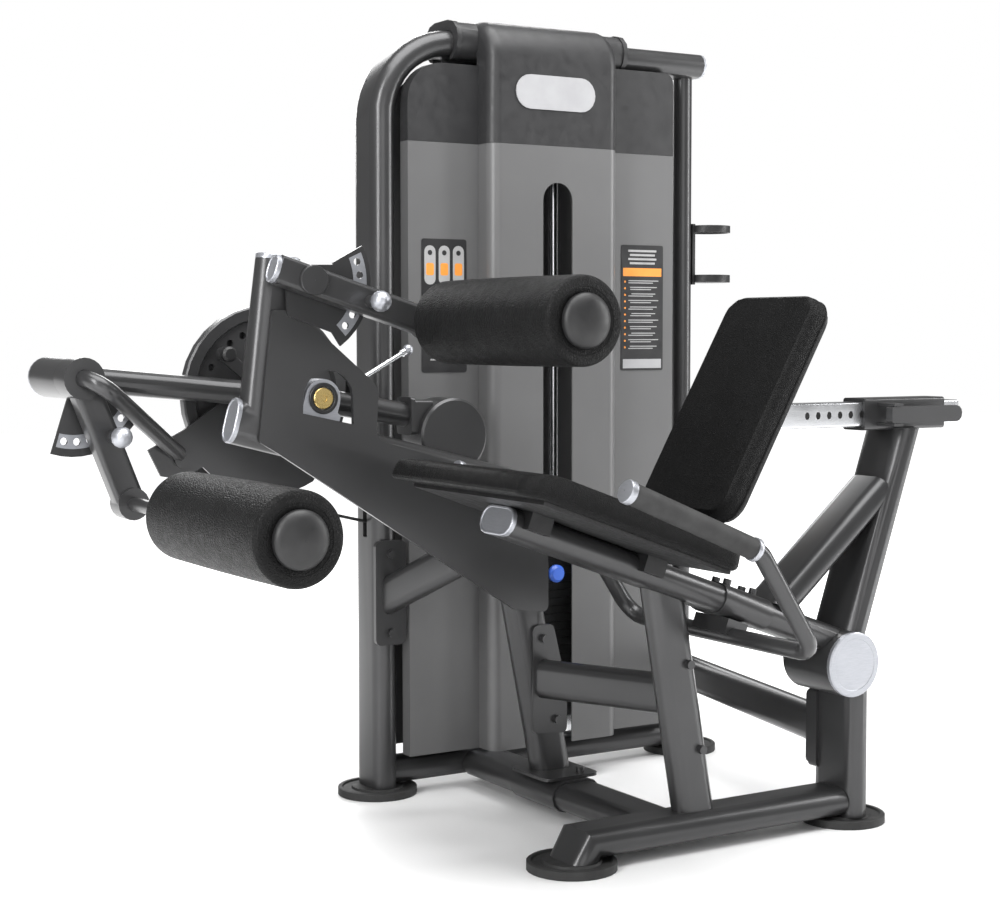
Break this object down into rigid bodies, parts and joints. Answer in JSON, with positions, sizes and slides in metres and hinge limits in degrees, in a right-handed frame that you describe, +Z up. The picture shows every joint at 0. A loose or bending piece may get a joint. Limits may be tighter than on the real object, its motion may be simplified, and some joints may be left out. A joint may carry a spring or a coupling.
{
  "type": "leg extension machine",
  "caption": "Seated leg extension machine with a weight tower, a sliding backrest, a swinging ankle arm and a thigh pad on an adjustable arm.",
  "frame": {"origin": "centre of the machine's bounding box, on the floor", "axes": "+X from the user's feet to the backrest, +Y from the seat to the weight tower, +Z up"},
  "size_m": [1.5977, 0.9965, 1.521],
  "materials": {
    "dark_coat": "satin metallic powder coat, charcoal",
    "panel_grey": "satin powder-coated sheet, mid grey",
    "band_dark": "matt moulded cover, dark grey",
    "black_plastic": "matt moulded plastic, black",
    "rubber": "matt black rubber",
    "vinyl": "grained black upholstery vinyl over foam",
    "aluminium": "brushed aluminium",
    "chrome": "polished chrome plate",
    "cast": "black painted cast plates",
    "brass": "turned brass",
    "blue": "blue moulded knob",
    "white": "white printed plate, blank"
  },
  "bodies": {
    "frame": {"tower_frame": "dark_coat", "top_tube_cap": "aluminium", "shroud_left": "panel_grey", "shroud_right": "panel_grey", "shroud_centre": "panel_grey", "shroud_hood": "band_dark", "shroud_back": "panel_grey", "badge_plate": "white", "cup_holder": "black_plastic", "foot_tower_left": "rubber", "foot_tower_right": "rubber", "foot_seat_front": "rubber", "foot_seat_rear": "rubber", "guide_frame": "chrome", "drive_cable": "black_plastic", "weight_stack": "cast", "base_frame": "dark_coat", "pivot_frame": "dark_coat", "beam_a_cap": "aluminium", "front_top_cap": "aluminium", "tower_brace": "dark_coat", "brace_rear": "dark_coat", "seat_beam": "dark_coat", "seat_beam_cap": "aluminium", "rear_frame": "dark_coat", "hub_cap": "aluminium", "pillow_block": "aluminium", "sector_high": "dark_coat", "seat_pan": "black_plastic", "seat_cushion": "vinyl", "handle_bar": "dark_coat", "grip_near": "rubber", "grip_far": "rubber"},
    "cam": {"cam_wheel": "dark_coat", "main_shaft": "chrome", "shaft_cap": "brass"},
    "arm": {"movement_arm": "dark_coat", "sleeve_cap": "aluminium", "counterweight": "dark_coat"},
    "start_plunger": {"start_plunger": "black_plastic"},
    "range_lever": {"range_lever": "chrome"},
    "ankle_arm": {"lower_arm": "dark_coat"},
    "ankle_pin": {"lower_pin": "aluminium"},
    "ankle_roller": {"lower_roller": "vinyl", "lower_roller_core": "black_plastic"},
    "thigh_arm": {"upper_arm": "dark_coat", "upper_arm_cap": "aluminium"},
    "thigh_pin": {"upper_pin": "aluminium"},
    "thigh_roller": {"upper_roller": "vinyl", "upper_roller_core": "black_plastic"},
    "pulley_low": {"pulley_low": "black_plastic"},
    "pulley_top_left": {"pulley_top_left": "black_plastic"},
    "pulley_top_right": {"pulley_top_right": "black_plastic"},
    "carriage": {"weight_carriage": "cast"},
    "selector": {"selector_pin": "blue"},
    "back_slide": {"slide_bar": "chrome", "backrest_plate": "black_plastic", "backrest_cushion": "vinyl"},
    "lock_lever": {"lock_lever": "dark_coat"},
    "lock_pin": {"lock_pin": "chrome"}
  },
  "joints": [
    {"name": "leg_swing", "type": "hinge", "parent": "frame", "child": "cam", "pos_m": [-0.3671, 0.4202, 0.794], "axis": [0, 1, 0], "range_deg": [0, 57]},
    {"name": "start_position", "type": "hinge", "parent": "cam", "child": "arm", "pos_m": [-0.3671, 0.4202, 0.794], "axis": [0, 1, 0], "range_deg": [-45, 0]},
    {"name": "start_plunger_pull", "type": "slide", "parent": "arm", "child": "start_plunger", "axis": [0, -1, 0], "range_m": [0, 0.01], "stiffness_N_per_m": 300},
    {"name": "range_lever_tilt", "type": "hinge", "parent": "arm", "child": "range_lever", "pos_m": [-0.2551, 0.2202, 0.815], "axis": [0, 1, 0], "range_deg": [-10, 10]},
    {"name": "ankle_arm_set", "type": "hinge", "parent": "arm", "child": "ankle_arm", "pos_m": [-0.7571, 0.2552, 0.831], "axis": [0, -1, 0], "range_deg": [-36, 0]},
    {"name": "ankle_pin_pull", "type": "slide", "parent": "ankle_arm", "child": "ankle_pin", "axis": [0, -1, 0], "range_m": [0, 0.012], "stiffness_N_per_m": 300},
    {"name": "ankle_roller_spin", "type": "hinge", "parent": "ankle_arm", "child": "ankle_roller", "pos_m": [-0.6721, -0.2148, 0.615], "axis": [0, 1, 0], "continuous": true},
    {"name": "thigh_arm_set", "type": "hinge", "parent": "frame", "child": "thigh_arm", "pos_m": [-0.4151, 0.0752, 0.997], "axis": [0, -1, 0], "range_deg": [-24, 36]},
    {"name": "thigh_pin_pull", "type": "slide", "parent": "thigh_arm", "child": "thigh_pin", "axis": [0, -1, 0], "range_m": [0, 0.012], "stiffness_N_per_m": 300},
    {"name": "thigh_roller_spin", "type": "hinge", "parent": "thigh_arm", "child": "thigh_roller", "pos_m": [-0.1851, -0.2148, 0.926], "axis": [0, 1, 0], "continuous": true},
    {"name": "weight_lift", "type": "slide", "parent": "frame", "child": "carriage", "axis": [0, 0, 1], "range_m": [0, 0.2]},
    {"name": "selector_pull", "type": "slide", "parent": "carriage", "child": "selector", "axis": [0, -1, 0], "range_m": [0, 0.09]},
    {"name": "pulley_low_turn", "type": "hinge", "parent": "frame", "child": "pulley_low", "pos_m": [-0.0261, 0.4202, 0.565], "axis": [0, 1, 0], "range_deg": [-240, 240]},
    {"name": "pulley_top_left_turn", "type": "hinge", "parent": "frame", "child": "pulley_top_left", "pos_m": [0.0699, 0.4202, 1.36], "axis": [0, 1, 0], "range_deg": [-240, 240]},
    {"name": "pulley_top_right_turn", "type": "hinge", "parent": "frame", "child": "pulley_top_right", "pos_m": [0.2009, 0.4202, 1.36], "axis": [0, 1, 0], "range_deg": [-240, 240]},
    {"name": "backrest_slide", "type": "slide", "parent": "frame", "child": "back_slide", "axis": [1, 0, 0], "range_m": [-0.026, 0.182]},
    {"name": "lock_lever_turn", "type": "hinge", "parent": "frame", "child": "lock_lever", "pos_m": [0.5949, -0.2858, 0.7575], "axis": [0, 0, -1], "range_deg": [0, 14], "stiffness_Nm_per_rad": 3},
    {"name": "lock_pin_slide", "type": "slide", "parent": "frame", "child": "lock_pin", "axis": [0, -1, 0], "range_m": [0, 0.016]}
  ],
  "couplings": [
    {"joint": "weight_lift", "follows": "leg_swing", "m_per_rad": 0.19},
    {"joint": "pulley_low_turn", "follows": "leg_swing", "ratio": 3.9583},
    {"joint": "pulley_top_left_turn", "follows": "leg_swing", "ratio": -3.9583},
    {"joint": "pulley_top_right_turn", "follows": "leg_swing", "ratio": -3.9583},
    {"joint": "lock_pin_slide", "follows": "lock_lever_turn", "m_per_rad": 0.062}
  ]
}
